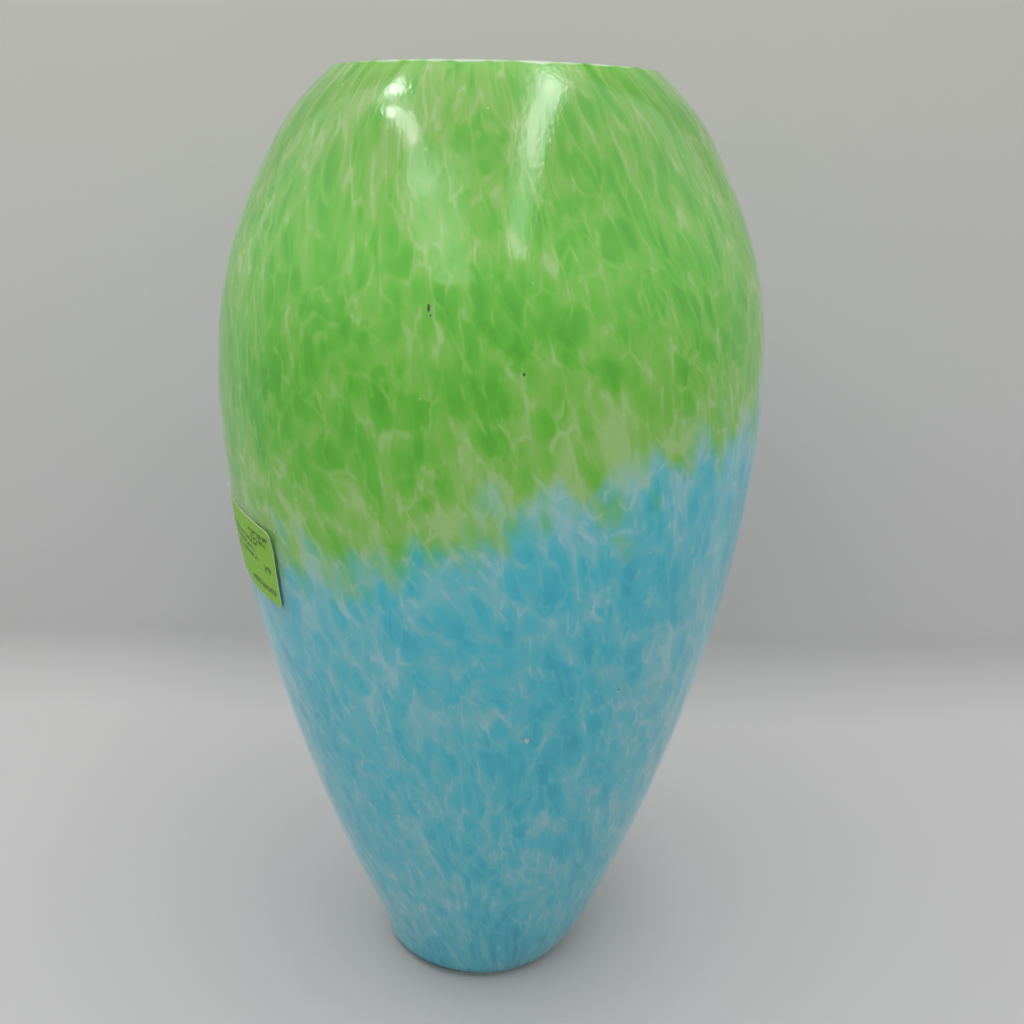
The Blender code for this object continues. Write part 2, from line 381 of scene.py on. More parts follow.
def bend_grid(tree):
    spot = add(tree, "ShaderNodeCombineXYZ", {0: cosine, 1: sine, 2: 0.0}).outputs[0]
    inputs = {0: spot, "Scale": USUAL_RADIUS}
    spot = add(tree, "ShaderNodeVectorMath", inputs, operation="SCALE").outputs[0]
    lift = add(tree, "ShaderNodeCombineXYZ", {2: point[2]}).outputs[0]
    spot = add(tree, "ShaderNodeVectorMath", {0: spot, 1: lift}).outputs[0]
    inputs = {0: 1.0, 1: given["Wobble Size"]}
    fineness = add(tree, "ShaderNodeMath", inputs, operation="DIVIDE").outputs[0]
    inputs = {"Vector": spot, "Scale": fineness, "Detail": 1.0}
    dents = add(tree, "ShaderNodeTexNoise", inputs, noise_dimensions="3D").outputs[0]
    swing = add(tree, "ShaderNodeMath", {0: dents, 1: 0.5}, operation="SUBTRACT").outputs[0]
    inputs = {0: given["Wobble"], 1: USUAL_RADIUS / 2}
    reach = add(tree, "ShaderNodeMath", inputs, operation="DIVIDE").outputs[0]
    inputs = {0: swing, 1: reach, 2: 1.0}
    stretch = add(tree, "ShaderNodeMath", inputs, operation="MULTIPLY_ADD").outputs[0]
    radius = add(tree, "ShaderNodeMath", {0: point[0], 1: stretch}, operation="MULTIPLY").outputs[0]
    inputs = {"Value": point[2], "From Max": given["Foot Reach"], "To Min": 1.0, "To Max": 0.0}
    foot = add(tree, "ShaderNodeMapRange", inputs).outputs[0]
    foot = add(tree, "ShaderNodeMath", {0: foot, 1: foot}, operation="MULTIPLY").outputs[0]
    inputs = {0: foot, 1: given["Foot Shift"]}
    shift = add(tree, "ShaderNodeMath", inputs, operation="MULTIPLY").outputs[0]
    inputs = {0: radius, 1: cosine, 2: shift}
    x = add(tree, "ShaderNodeMath", inputs, operation="MULTIPLY_ADD").outputs[0]
    y = add(tree, "ShaderNodeMath", {0: radius, 1: sine}, operation="MULTIPLY").outputs[0]
    target = add(tree, "ShaderNodeCombineXYZ", {0: x, 1: y, 2: point[2]}).outputs[0]
    made = add(tree, "GeometryNodeSetPosition", {"Geometry": grid, "Position": target}).outputs[0]
    made = add(tree, "GeometryNodeMergeByDistance", {"Geometry": made, "Distance": WELD}).outputs[0]
    made = add(tree, "GeometryNodeSetShadeSmooth", {"Geometry": made}).outputs[0]
    made = add(tree, "GeometryNodeRealizeInstances", {"Geometry": made}).outputs[0]
    inputs = {"Geometry": made, "Material": given["Finish"]}
    made = add(tree, "GeometryNodeSetMaterial", inputs).outputs[0]
    add(tree, "NodeGroupOutput", {0: made})


bend_grid(TURNING)
print("nodes in the whole tree:", len(TURNING.nodes))

# %% [markdown]
# A tree runs as a modifier. Its inputs are set by their sockets' identifiers, the result is kept as a
# plain mesh, and the modifier goes. Every layer is turned with the same sizes, so they stay nested.

# %% Run the tree on an outline
MEETING_HEIGHT = 0.186
MEETING_RISE = 0.027
MEETING_WAVE = 0.003
ROW = 0.0015
TURNING_SIZES = {
    "Segments": 240,
    "Wobble": 0.0004,
    "Wobble Size": 0.05,
    "Meeting Rise": MEETING_RISE,
    "Meeting Wave": MEETING_WAVE,
    "Meeting Waves": 7.0,
    "Row Height": ROW,
    "Foot Shift": -0.0031,
    "Foot Reach": 0.020,
}


def settle(obj, tree, values):
    """Runs a tree on an object with these input values, and keeps the result as its plain mesh."""
    modifier = obj.modifiers.new(tree.name, "NODES")
    modifier.node_group = tree
    for item in tree.interface.items_tree:
        if item.name in values and item.in_out == "INPUT":
            modifier[item.identifier] = values[item.name]
    bpy.context.view_layer.update()
    evaluated = obj.evaluated_get(bpy.context.evaluated_depsgraph_get())
    plain = bpy.data.meshes.new_from_object(evaluated)
    plain.name = obj.name
    obj.modifiers.clear()
    obj.data = plain
    print(obj.name, "faces:", len(plain.polygons))
    return obj


def turned(name, outline, finish, slides=None, offset=0.0):
    """A layer of glass: outline is its (radius, height) line, slides how far each point may slide."""
    mesh = bpy.data.meshes.new(name)
    mesh.from_pydata([(radius, 0.0, height) for radius, height in outline], [], [])
    attribute = mesh.attributes.new("slide", "FLOAT", "POINT")
    attribute.data.foreach_set("value", slides or [0.0] * len(outline))
    own = {"Meeting Offset": offset, "Finish": finish}
    obj = settle(put_in_scene(name, mesh), TURNING, {**TURNING_SIZES, **own})
    if "slide" in obj.data.attributes:
        obj.data.attributes.remove(obj.data.attributes["slide"])
    return obj


# %% [markdown]
# ## Frit
# The colour is crushed glass, picked up hot and melted flat. Its chips are a few millimetres wide, and
# the blowing has drawn them out to twice that height and leaned them a little, so the pattern is made of
# stretched cells. Flat cells would look like tiles, so three sizes of noise first push the place where
# the pattern is read to and fro, as the hot glass was pushed. All of it reads the direction from the
# axis and the height, so it has no seam.

# %% Start the frit pattern: a place on the glass
CHIP_WIDTH = 0.0047
PATCH_WIDTH = 0.0078
DRAWN_OUT = 1.9
LEAN = 2.4
PATTERN_RADIUS = 0.075
SWIRLS = ((0.026, 0.012), (0.008, 0.0045), (0.0022, 0.0012))  # size, and how far it pushes
FRIT = bpy.data.node_groups.new("melted frit", "ShaderNodeTree")
FRIT.interface.new_socket("Colour", in_out="OUTPUT", socket_type="NodeSocketColor")


def frit_place(tree):
    """The sockets of where the pattern is read, pushed and calm, and of the place along X and up."""
    where = add(tree, "ShaderNodeTexCoord").outputs["Object"]
    across, _, height = add(tree, "ShaderNodeSeparateXYZ", {0: where}).outputs
    inputs = {0: where, 1: (1.0, 1.0, 0.0)}
    flat = add(tree, "ShaderNodeVectorMath", inputs, operation="MULTIPLY").outputs[0]
    around = add(tree, "ShaderNodeVectorMath", {0: flat}, operation="NORMALIZE").outputs[0]
    lean = add(tree, "ShaderNodeMath", {0: height, 1: LEAN}, operation="MULTIPLY").outputs[0]
    inputs = {"Vector": around, "Angle": lean}
    around = add(tree, "ShaderNodeVectorRotate", inputs, rotation_type="Z_AXIS").outputs[0]
    inputs = {0: where, 1: (0.0, 0.0, 1 / DRAWN_OUT)}
    up = add(tree, "ShaderNodeVectorMath", inputs, operation="MULTIPLY").outputs[0]
    inputs = {0: around, 1: (PATTERN_RADIUS, PATTERN_RADIUS, PATTERN_RADIUS), 2: up}
    place = add(tree, "ShaderNodeVectorMath", inputs, operation="MULTIPLY_ADD").outputs[0]
    calm = place
    for size, reach in SWIRLS:
        swirl = add(tree, "ShaderNodeTexNoise", {"Vector": place, "Scale": 1 / size, "Detail": 1.0})
        inputs = {0: swirl.outputs["Color"], 1: (0.5, 0.5, 0.5)}
        swirl = add(tree, "ShaderNodeVectorMath", inputs, operation="SUBTRACT").outputs[0]
        inputs = {0: swirl, 1: (reach, reach, reach), 2: place}
        place = add(tree, "ShaderNodeVectorMath", inputs, operation="MULTIPLY_ADD").outputs[0]
    return place, calm, across, height


place, calm, across, height = frit_place(FRIT)
print("chips in mm:", 1000 * CHIP_WIDTH, "wide,", round(1000 * CHIP_WIDTH * DRAWN_OUT, 1), "tall")

# %% [markdown]
# A chip's own thickness sets how deep its colour is, and it is thickest in its middle. Bigger patches
# lie under the chips, and fine vertical streaks run through both where the blowing drew the colour out.
# Where chips don't quite touch, the white under them shows as soft pale veins, and here and there a
# patch is bare.

# %% How deep the colour is
CHIPS = (  # width, softness, and the parts that chance and the chip's middle take
    (CHIP_WIDTH, 0.45, 0.32, 0.36),
    (PATCH_WIDTH, 0.55, 0.22, 0.12),
)
NOISES = (  # size, stretch upwards, detail, lowest and highest value that count, and the part it takes
    (0.030, 1.0, 2.0, 0.0, 1.0, 0.44),
    (0.0022, 6.5, 3.0, 0.0, 1.0, 0.26),
    (0.0016, 1.0, 2.0, 0.0, 1.0, 0.12),
    (0.0055, 1.0, 3.0, 0.60, 0.84, -0.12),
)
VEIN_SPACING = 0.0042
VEIN_EDGE = 0.17
VEIN_PART = -0.27
VEIN_GAP = 0.0036
VEIN_GAP_EDGE = (0.38, 0.66)


def colour_depth(tree):
    """The sockets of how deep the colour is, and of a chance value for each patch."""
    depth = 0.0
    for width, softness, chance_part, middle_part in CHIPS:
        inputs = {"Vector": place, "Scale": 1 / width, "Smoothness": softness}
        chips = add(tree, "ShaderNodeTexVoronoi", inputs, feature="SMOOTH_F1").outputs
        chance = add(tree, "ShaderNodeSeparateColor", {0: chips["Color"]}).outputs
        inputs = {0: chance[0], 1: chance_part, 2: depth}
        depth = add(tree, "ShaderNodeMath", inputs, operation="MULTIPLY_ADD").outputs[0]
        inputs = {0: chips["Distance"], 1: -middle_part, 2: depth}
        depth = add(tree, "ShaderNodeMath", inputs, operation="MULTIPLY_ADD").outputs[0]
    for size, stretch, detail, low, high, part in NOISES:
        inputs = {0: place, 1: (1.0, 1.0, 1 / stretch)}
        drawn = add(tree, "ShaderNodeVectorMath", inputs, operation="MULTIPLY").outputs[0]
        value = add(tree, "ShaderNodeTexNoise", {"Vector": drawn, "Scale": 1 / size, "Detail": detail})
        inputs = {"Value": value.outputs[0], "From Min": low, "From Max": high}
        value = add(tree, "ShaderNodeMapRange", inputs).outputs[0]
        inputs = {0: value, 1: part, 2: depth}
        depth = add(tree, "ShaderNodeMath", inputs, operation="MULTIPLY_ADD").outputs[0]
    inputs = {0: place, 1: (1.0, 1.0, 0.7)}
    thin = add(tree, "ShaderNodeVectorMath", inputs, operation="MULTIPLY").outputs[0]
    inputs = {"Vector": thin, "Scale": 1 / VEIN_SPACING}
    edge = add(tree, "ShaderNodeTexVoronoi", inputs, feature="DISTANCE_TO_EDGE").outputs["Distance"]
    inputs = {"Value": edge, "From Min": 0.0, "From Max": VEIN_EDGE, "To Min": 1.0, "To Max": 0.0}
    vein = add(tree, "ShaderNodeMapRange", inputs, interpolation_type="SMOOTHERSTEP").outputs[0]
    inputs = {"Vector": place, "Scale": 1 / VEIN_GAP, "Detail": 2.0}
    gaps = add(tree, "ShaderNodeTexNoise", inputs).outputs[0]
    inputs = {"Value": gaps, "From Min": VEIN_GAP_EDGE[0], "From Max": VEIN_GAP_EDGE[1]}
    gaps = add(tree, "ShaderNodeMapRange", inputs, interpolation_type="SMOOTHSTEP").outputs[0]
    vein = add(tree, "ShaderNodeMath", {0: vein, 1: gaps}, operation="MULTIPLY").outputs[0]
    inputs = {0: vein, 1: VEIN_PART, 2: depth}
    depth = add(tree, "ShaderNodeMath", inputs, operation="MULTIPLY_ADD").outputs[0]
    return depth, chance[1]


depth, chance = colour_depth(FRIT)
print("nodes in the pattern so far:", len(FRIT.nodes))

# %% [markdown]
# The two colours meet patch by patch along a line that climbs towards +X, so that there are fingers and
# strays, and their edges are soft because both were fluid. Over the line the cover is thin, and white
# shows through. Towards the foot the colour is deeper.

# %% Where the colours meet
BELLY_RADIUS = 0.085
FINGER_WIDTH = 0.0090
FINGER = 0.046
STRAY = 0.012
SOFT_EDGE = 0.0090
COVERS = ((0.008, 0.030, -0.20), (-0.190, 0.055, 0.26))  # height over the line, reach, and its part


def colour_meeting(tree):
    """The sockets of how green the glass is, of how deep the colour is now, and of the fingers."""
    inputs = {0: across, 1: -MEETING_RISE / BELLY_RADIUS, 2: height}
    above = add(tree, "ShaderNodeMath", inputs, operation="MULTIPLY_ADD").outputs[0]
    above = add(tree, "ShaderNodeMath", {0: above, 1: MEETING_HEIGHT}, operation="SUBTRACT").outputs[0]
    inputs = {0: calm, 1: (1.0, 1.0, 0.8)}
    tall = add(tree, "ShaderNodeVectorMath", inputs, operation="MULTIPLY").outputs[0]
    inputs = {"Vector": tall, "Scale": 1 / FINGER_WIDTH, "Detail": 1.5}
    finger = add(tree, "ShaderNodeTexNoise", inputs).outputs[0]
    finger = add(tree, "ShaderNodeMath", {0: finger, 1: 0.5}, operation="SUBTRACT").outputs[0]
    patch = add(tree, "ShaderNodeMath", {0: chance, 1: 0.5}, operation="SUBTRACT").outputs[0]
    stray = above
    for push, reach in ((finger, FINGER), (patch, STRAY)):
        inputs = {0: push, 1: reach, 2: stray}
        stray = add(tree, "ShaderNodeMath", inputs, operation="MULTIPLY_ADD").outputs[0]
    inputs = {"Value": stray, "From Min": -SOFT_EDGE, "From Max": SOFT_EDGE}
    green = add(tree, "ShaderNodeMapRange", inputs, interpolation_type="SMOOTHSTEP").outputs[0]
    cover = depth
    for middle, reach, part in COVERS:
        away = add(tree, "ShaderNodeMath", {0: above, 1: middle}, operation="SUBTRACT").outputs[0]
        away = add(tree, "ShaderNodeMath", {0: away}, operation="ABSOLUTE").outputs[0]
        inputs = {"Value": away, "From Min": 0.0, "From Max": reach, "To Min": part, "To Max": 0.0}
        away = add(tree, "ShaderNodeMapRange", inputs, interpolation_type="SMOOTHSTEP").outputs[0]
        cover = add(tree, "ShaderNodeMath", {0: cover, 1: away}, operation="ADD").outputs[0]
    cover = add(tree, "ShaderNodeMath", {0: cover, 1: 1.0}, operation="MINIMUM").outputs[0]
    return green, cover, finger


green_share, cover, finger = colour_meeting(FRIT)
print("the line between the colours climbs, in mm:", round(2000 * MEETING_RISE))

# %% [markdown]
# Each colour runs from the milky tint of a thin smear to that of a full chip. The shoulder is painted a
# little darker, a painted shade that holds down the stronger light from overhead there. Along the rim a
# ragged line of white is painted: partly the white opal where the colour was ground away, and partly a
# painted highlight along the rim's edge.

# %% What colours they are
GREENS = ((0.0, "#bbe292"), (0.25, "#9cdb62"), (0.5, "#78d641"), (1.0, "#48b424"))
TURQUOISES = ((0.0, "#b6e4ee"), (0.25, "#89dbe6"), (0.5, "#59d8ea"), (1.0, "#2db4cf"))
SHOULDER = (0.250, 0.298)
SHOULDER_PAINTED_SHADE = (0.84, 0.79, 0.80, 1.0)
RIM_WHITE_AND_HIGHLIGHT = "#dfe8d6"
RIM_LINE_REACH = (0.0016, 0.0010)  # under the rim, where the white starts and where it is full
RAGGED = 0.0015


def frit_colours(tree):
    colours = []
    for stops in (TURQUOISES, GREENS):
        colours.append(set_stops(add(tree, "ShaderNodeValToRGB", {0: cover}), stops))
    inputs = {0: green_share, 6: colours[0], 7: colours[1]}
    colour = add(tree, "ShaderNodeMix", inputs, data_type="RGBA").outputs[2]
    # The shoulder is painted darker: a painted shade against the light from overhead.
    inputs = {"Value": height, "From Min": SHOULDER[0], "From Max": SHOULDER[1]}
    high = add(tree, "ShaderNodeMapRange", inputs, interpolation_type="SMOOTHSTEP").outputs[0]
    inputs = {0: high, 6: colour, 7: SHOULDER_PAINTED_SHADE}
    colour = add(tree, "ShaderNodeMix", inputs, data_type="RGBA", blend_type="MULTIPLY").outputs[2]
    # Under the rim a ragged white line is painted: partly the white opal where the colour was ground away,
    # partly a painted highlight along the rim's edge.
    inputs = {0: finger, 1: RAGGED, 2: height}
    ragged = add(tree, "ShaderNodeMath", inputs, operation="MULTIPLY_ADD").outputs[0]
    inputs = {"Value": ragged, "From Min": HEIGHT - RIM_LINE_REACH[0], "From Max": HEIGHT - RIM_LINE_REACH[1]}
    ground = add(tree, "ShaderNodeMapRange", inputs, interpolation_type="SMOOTHSTEP").outputs[0]
    inputs = {0: ground, 6: colour, 7: linear(RIM_WHITE_AND_HIGHLIGHT)}
    colour = add(tree, "ShaderNodeMix", inputs, data_type="RGBA").outputs[2]
    add(tree, "NodeGroupOutput", {0: colour})


frit_colours(FRIT)
print("nodes in the pattern:", len(FRIT.nodes))

# %% [markdown]
# The pattern becomes a finish. The frit lies under clear glass, so the gloss belongs to the casing, and
# the colour's own surface is matt.


# %% The finish of the colour layers
def frit_glass(name):
    """Coloured frit melted onto opal glass, which gives the eye its colour and nothing else."""
    material, tree, shader = new_finish(name, {"Roughness": 0.5, "Specular IOR Level": 0.0})
    pattern = add(tree, "ShaderNodeGroup", node_tree=FRIT)
    tree.links.new(pattern.outputs[0], shader.inputs["Base Color"])
    return material


# %% [markdown]
# ## The colour layers
# Two thin shells carry the frit: a cup of turquoise below, and a sleeve of green above. They are turned
# from the same line as everything else, and their shared edge climbs from one side of the vase to the
# other.

# %% Turn the two colour layers
FRIT_OUTER = CASING_WALL
FRIT_INNER = 0.0032
CASING_INNER = 0.0024
SWING = MEETING_RISE + MEETING_WAVE
STILL_UNDER = 0.1  # the rows of turquoise under this height don't slide
STILL_OVER = 0.235  # nor do those of green over this one
LAST_ROW = 0.300
LIP = 0.0006  # how far the turquoise's edge reaches up between its two faces


def colour_floor(depth):
    """The line at this depth across the floor of the colour, and the height where its corner ends."""
    return floor_line(depth, COLOUR_FLOOR - CASING_WALL + depth, COLOUR_CORNER)


def turquoise_layer():
    highest = MEETING_HEIGHT + SWING
    outline = []
    slides = []
    for depth, sign in ((FRIT_OUTER, 1), (FRIT_INNER, -1)):
        floor, corner_top = colour_floor(depth)
        rows = int((highest - corner_top) / ROW)
        heights = [highest - (rows - i) * ROW for i in range(rows + 1)]
        line = floor + [side_point(height, depth) for height in heights]
        weights = [0.0] * len(floor)
        weights += [max((height - STILL_UNDER) / (highest - STILL_UNDER), 0.0) for height in heights]
        outline += line[::sign]
        slides += [sign * weight for weight in weights[::sign]]
        if sign == 1:
            outline.append(side_point(highest + LIP, CASING_INNER))
            slides.append(0.0)
    finish = frit_glass("turquoise frit on opal glass")
    return turned("turquoise_frit_glass", outline, finish, slides, -SWING)


def green_layer():
    lowest = MEETING_HEIGHT - SWING
    outline = []
    slides = []
    for depth, sign in ((FRIT_OUTER, 1), (FRIT_INNER, -1)):
        heights = list(np.arange(lowest, LAST_ROW, ROW)) + [rim_height(depth)]
        weights = [max((STILL_OVER - height) / (STILL_OVER - lowest), 0.0) for height in heights]
        outline += [side_point(height, depth) for height in heights][::sign]
        slides += [sign * weight for weight in weights[::sign]]
    outline.append(outline[0])
    slides.append(slides[0])
    return turned("green_frit_glass", outline, frit_glass("green frit on opal glass"), slides, SWING)


turquoise = turquoise_layer()
green = green_layer()

# %% [markdown]
# ## Opal lining
# The inside of the vase is the first gather: opal glass, white because tiny crystals in it scatter
# light. Its inner face is glossy from the fire, its floor is over a centimetre thick, and its rim is
# ground with the rest.

# %% Turn the lining
LINING_OUTER = 0.0031
LINING_INNER = 0.0052
EDGE_ROUND = 0.0005  # as far as a ground edge reaches
HAZE = 0.02
OPAL_TONES = ((0.0, "#ccd0c8"), (1.0, "#e0e2da"))
GROUND_RIM = 0.0003
FIRE_POLISH, GROUND_OPAL = 0.08, 0.45


def opal_glass():
    """White opal glass, fire polished inside, with a slow haze in its white. The ground rim is matt."""
    material, tree, shader = new_finish("opal glass", {"IOR": 1.5})
    where = add(tree, "ShaderNodeTexCoord").outputs["Object"]
    height = add(tree, "ShaderNodeSeparateXYZ", {0: where}).outputs[2]
    inputs = {"Value": height, "From Min": HEIGHT - GROUND_RIM, "From Max": HEIGHT}
    inputs |= {"To Min": FIRE_POLISH, "To Max": GROUND_OPAL}
    rough = add(tree, "ShaderNodeMapRange", inputs).outputs[0]
    tree.links.new(rough, shader.inputs["Roughness"])
    inputs = {"Vector": where, "Scale": 1 / HAZE, "Detail": 3.0}
    haze = add(tree, "ShaderNodeTexNoise", inputs).outputs[0]
    tone = set_stops(add(tree, "ShaderNodeValToRGB", {0: haze}), OPAL_TONES)
    tree.links.new(tone, shader.inputs["Base Color"])
    return material


def opal_lining():
    outer, corner_top = colour_floor(LINING_OUTER)
    outer += side_line(corner_top, rim_height(LINING_OUTER), LINING_OUTER)
    inner, corner_top = floor_line(LINING_INNER, INSIDE_FLOOR, INSIDE_CORNER)
    inner += side_line(corner_top, rim_height(LINING_INNER), LINING_INNER)
    return turned("opal_lining_glass", eased(outer + inner[::-1], EDGE_ROUND), opal_glass())


opal = opal_lining()

# %% [markdown]
# ## Clear casing
# The last gather is clear soda-lime glass, about two millimetres over the colour. It gives the vase its
# wet gloss. Its surface still holds the slow hills that shaping left and a fine peel, drawn here as a
# bump, and they break up the edges of the highlights. The rim was cut and ground flat, and under the
# foot the pontil mark was ground away, which leaves a flat ring round a shallow polished hollow.

# %% Turn the casing
DIMPLE_RADIUS = 0.019
DIMPLE_DEPTH = 0.0012
CASING_TOP = 0.298
HAIR = 0.00002  # the gap between casing and colour at the rim
HILLS = 0.016
PEEL = 0.0012
PEEL_SHARE = 0.15
RELIEF = 0.00030
GLOSS, GROUND_GLASS = 0.015, 0.35


def clear_glass():
    """Clear soda-lime glass: sharp highlights on slow hills, and a trace of haze from handling."""
    look = {"Transmission Weight": 1.0, "IOR": 1.5, "Sheen Weight": 0.08, "Base Color": linear("#fbfefc")}
    material, tree, shader = new_finish("clear soda-lime glass", look)
    where = add(tree, "ShaderNodeTexCoord").outputs["Object"]
    height = add(tree, "ShaderNodeSeparateXYZ", {0: where}).outputs[2]
    inputs = {"Value": height, "From Min": HEIGHT - 0.0002, "From Max": HEIGHT}
    rim = add(tree, "ShaderNodeMapRange", inputs).outputs[0]
    inputs = {"Value": height, "From Min": 0.00005, "From Max": 0.0}
    foot = add(tree, "ShaderNodeMapRange", inputs).outputs[0]
    ground = add(tree, "ShaderNodeMath", {0: rim, 1: foot}, operation="MAXIMUM").outputs[0]
    inputs = {"Value": ground, "To Min": GLOSS, "To Max": GROUND_GLASS}
    rough = add(tree, "ShaderNodeMapRange", inputs).outputs[0]
    tree.links.new(rough, shader.inputs["Roughness"])
    inputs = {0: where, 1: (1.0, 1.0, 0.45)}
    upright = add(tree, "ShaderNodeVectorMath", inputs, operation="MULTIPLY").outputs[0]
    inputs = {"Vector": upright, "Scale": 1 / HILLS, "Detail": 1.0}
    hills = add(tree, "ShaderNodeTexNoise", inputs).outputs[0]
    inputs = {"Vector": upright, "Scale": 1 / PEEL, "Detail": 2.0}
    peel = add(tree, "ShaderNodeTexNoise", inputs).outputs[0]
    inputs = {0: peel, 1: PEEL_SHARE, 2: hills}
    relief = add(tree, "ShaderNodeMath", inputs, operation="MULTIPLY_ADD").outputs[0]
    bump = add(tree, "ShaderNodeBump", {"Strength": 1.0, "Distance": RELIEF, "Height": relief})
    tree.links.new(bump.outputs[0], shader.inputs["Normal"])
    return material


def clear_casing():
    sphere = (DIMPLE_RADIUS**2 + DIMPLE_DEPTH**2) / (2 * DIMPLE_DEPTH)
    reach = math.asin(DIMPLE_RADIUS / sphere)
    dimple = arc((0.0, DIMPLE_DEPTH - sphere), sphere, math.pi / 2, math.pi / 2 - reach, 12)
    heel = arc((FOOT_RADIUS, HEEL_RADIUS), HEEL_RADIUS, -math.pi / 2, -HEEL_LEAN, 14)
    outer = side_line(heel_top, HEIGHT, 0.0)
    inner, corner_top = colour_floor(CASING_INNER)
    inner += side_line(corner_top, CASING_TOP, CASING_INNER)
    inner.append(side_point(rim_height(FRIT_OUTER), FRIT_OUTER - HAIR))
    outline = [(0.0, DIMPLE_DEPTH)] + dimple[1:] + heel + outer[1:] + inner[::-1]
    return turned("clear_casing_glass", eased(outline, EDGE_ROUND), clear_glass())


casing = clear_casing()

# %% [markdown]
# ## Price label
# A shop's label is coated paper on a peelable glue, here the usual inch tall and two inches wide, in a
# loud lime so that it's found again. It's stiff one way at a time, so it wraps round the glass and one
# corner stands off a little. Rows of broken dashes stand for the shop's print.

# %% Paper and print
PRINT = (  # middle and half size of each printed row, in mm across and up the paper
    (41.0, 21.2, 6.5, 0.8),
    (41.0, 19.2, 5.0, 0.7),
    (28.0, 17.6, 12.0, 0.7),
    (27.0, 15.0, 11.0, 0.8),
    (30.0, 12.4, 9.0, 0.7),
    (45.0, 11.0, 2.0, 1.1),
    (39.5, 4.0, 8.5, 1.1),
    (12.0, 8.6, 8.0, 0.7),
)
PAPER_LIMES = ((0.0, "#70a81f"), (1.0, "#7db42b"))
PRINT_INK = "#2a4417"
INK_COVER = 0.85
CUT_PAPER = "#d9dcc4"
STROKES_PER_MM = 0.9
STROKE_EDGE = (0.43, 0.50)
FIBRES_PER_MM = 2.5


def label_paper():
    """Coated paper in a loud lime, half glossy, with dark print. Its cut edge shows its pale core."""
    material, tree, shader = new_finish("lime label paper", {"Roughness": 0.48, "Specular IOR Level": 0.35})
    place = add(tree, "ShaderNodeUVMap", uv_map="paper").outputs[0]
    across, up, _ = add(tree, "ShaderNodeSeparateXYZ", {0: place}).outputs
    ink = 0.0
    for middle, row, half, tall in PRINT:
        inputs = {0: across, 1: middle, 2: half}
        wide = add(tree, "ShaderNodeMath", inputs, operation="COMPARE").outputs[0]
        inputs = {0: up, 1: row, 2: tall}
        high = add(tree, "ShaderNodeMath", inputs, operation="COMPARE").outputs[0]
        inputs = {0: wide, 1: high, 2: ink}
        ink = add(tree, "ShaderNodeMath", inputs, operation="MULTIPLY_ADD").outputs[0]
    inputs = {"Vector": place, "Scale": STROKES_PER_MM, "Detail": 1.0}
    strokes = add(tree, "ShaderNodeTexNoise", inputs).outputs[0]
    inputs = {"Value": strokes, "From Min": STROKE_EDGE[0], "From Max": STROKE_EDGE[1]}
    strokes = add(tree, "ShaderNodeMapRange", inputs).outputs[0]
    for share in (strokes, INK_COVER):
        ink = add(tree, "ShaderNodeMath", {0: ink, 1: share}, operation="MULTIPLY").outputs[0]
    inputs = {"Vector": place, "Scale": FIBRES_PER_MM, "Detail": 4.0}
    fibre = add(tree, "ShaderNodeTexNoise", inputs).outputs[0]
    colour = set_stops(add(tree, "ShaderNodeValToRGB", {0: fibre}), PAPER_LIMES)
    cut = add(tree, "ShaderNodeAttribute", attribute_name="cut_edge").outputs["Fac"]
    for share, over in ((ink, PRINT_INK), (cut, CUT_PAPER)):
        inputs = {0: share, 6: colour, 7: linear(over)}
        colour = add(tree, "ShaderNodeMix", inputs, data_type="RGBA").outputs[2]
    tree.links.new(colour, shader.inputs["Base Color"])
    return material


PAPER_FINISH = label_paper()
print("rows of print:", len(PRINT))

# %% [markdown]
# The sheet is laid point by point: each place on the flat paper becomes an angle and a height on the
# vase, and a ray from just outside finds the glass there. A narrow strip along its cut edge keeps the
# bare colour of the paper.

# %% Where each place on the paper lies
LABEL_WIDTH = 0.0508
LABEL_HEIGHT = 0.0254
LABEL_CORNER = 0.002
PAPER = 0.00015
GLUE = 0.00003
CUT_EDGE = 0.00012
LABEL_COLUMNS, LABEL_ROWS = 64, 32
RAY_START = 0.004  # how far outside the vase a ray starts
LABEL_MIDDLE = 0.1665
LABEL_TURN = math.radians(-64)
LABEL_TILT = math.radians(-4)
CASING_SURFACE = BVHTree.FromObject(casing, bpy.context.evaluated_depsgraph_get())


def lay(across, up, lift):
    """The point over the glass for a place on the flat paper, measured from its middle."""
    right = across * math.cos(LABEL_TILT) - up * math.sin(LABEL_TILT)
    rise = across * math.sin(LABEL_TILT) + up * math.cos(LABEL_TILT)
    middle_radius, middle_slope = side(LABEL_MIDDLE)
    height = LABEL_MIDDLE + rise / math.hypot(1, middle_slope)
    turn = LABEL_TURN + right / middle_radius
    radius, level = side_point(height, -RAY_START)
    inwards = Vector((-math.sin(turn), math.cos(turn), side(height)[1])).normalized()
    start = Vector((radius * math.sin(turn), -radius * math.cos(turn), level))
    return CASING_SURFACE.ray_cast(start, inwards)[0] - inwards * lift


def stand_off(across, up):
    """How far the paper has lifted at a corner, along its top and along its right side."""
    across, up = across / (LABEL_WIDTH / 2), up / (LABEL_HEIGHT / 2)
    corner, top, right = (max(part, 0.0) for part in (across + up - 1.55, up - 0.75, across - 0.8))
    return 0.0016 * corner + 0.0012 * top**2 + 0.012 * right**2


print("label corner stands off in mm:", round(1000 * stand_off(LABEL_WIDTH / 2, LABEL_HEIGHT / 2), 1))


# %% Stick on the label
def cut_places(half, count):
    """Places from edge to edge of the paper, with a narrow strip at each end."""
    inner = half - CUT_EDGE
    return [-half, *np.linspace(-inner, inner, count - 1), half]


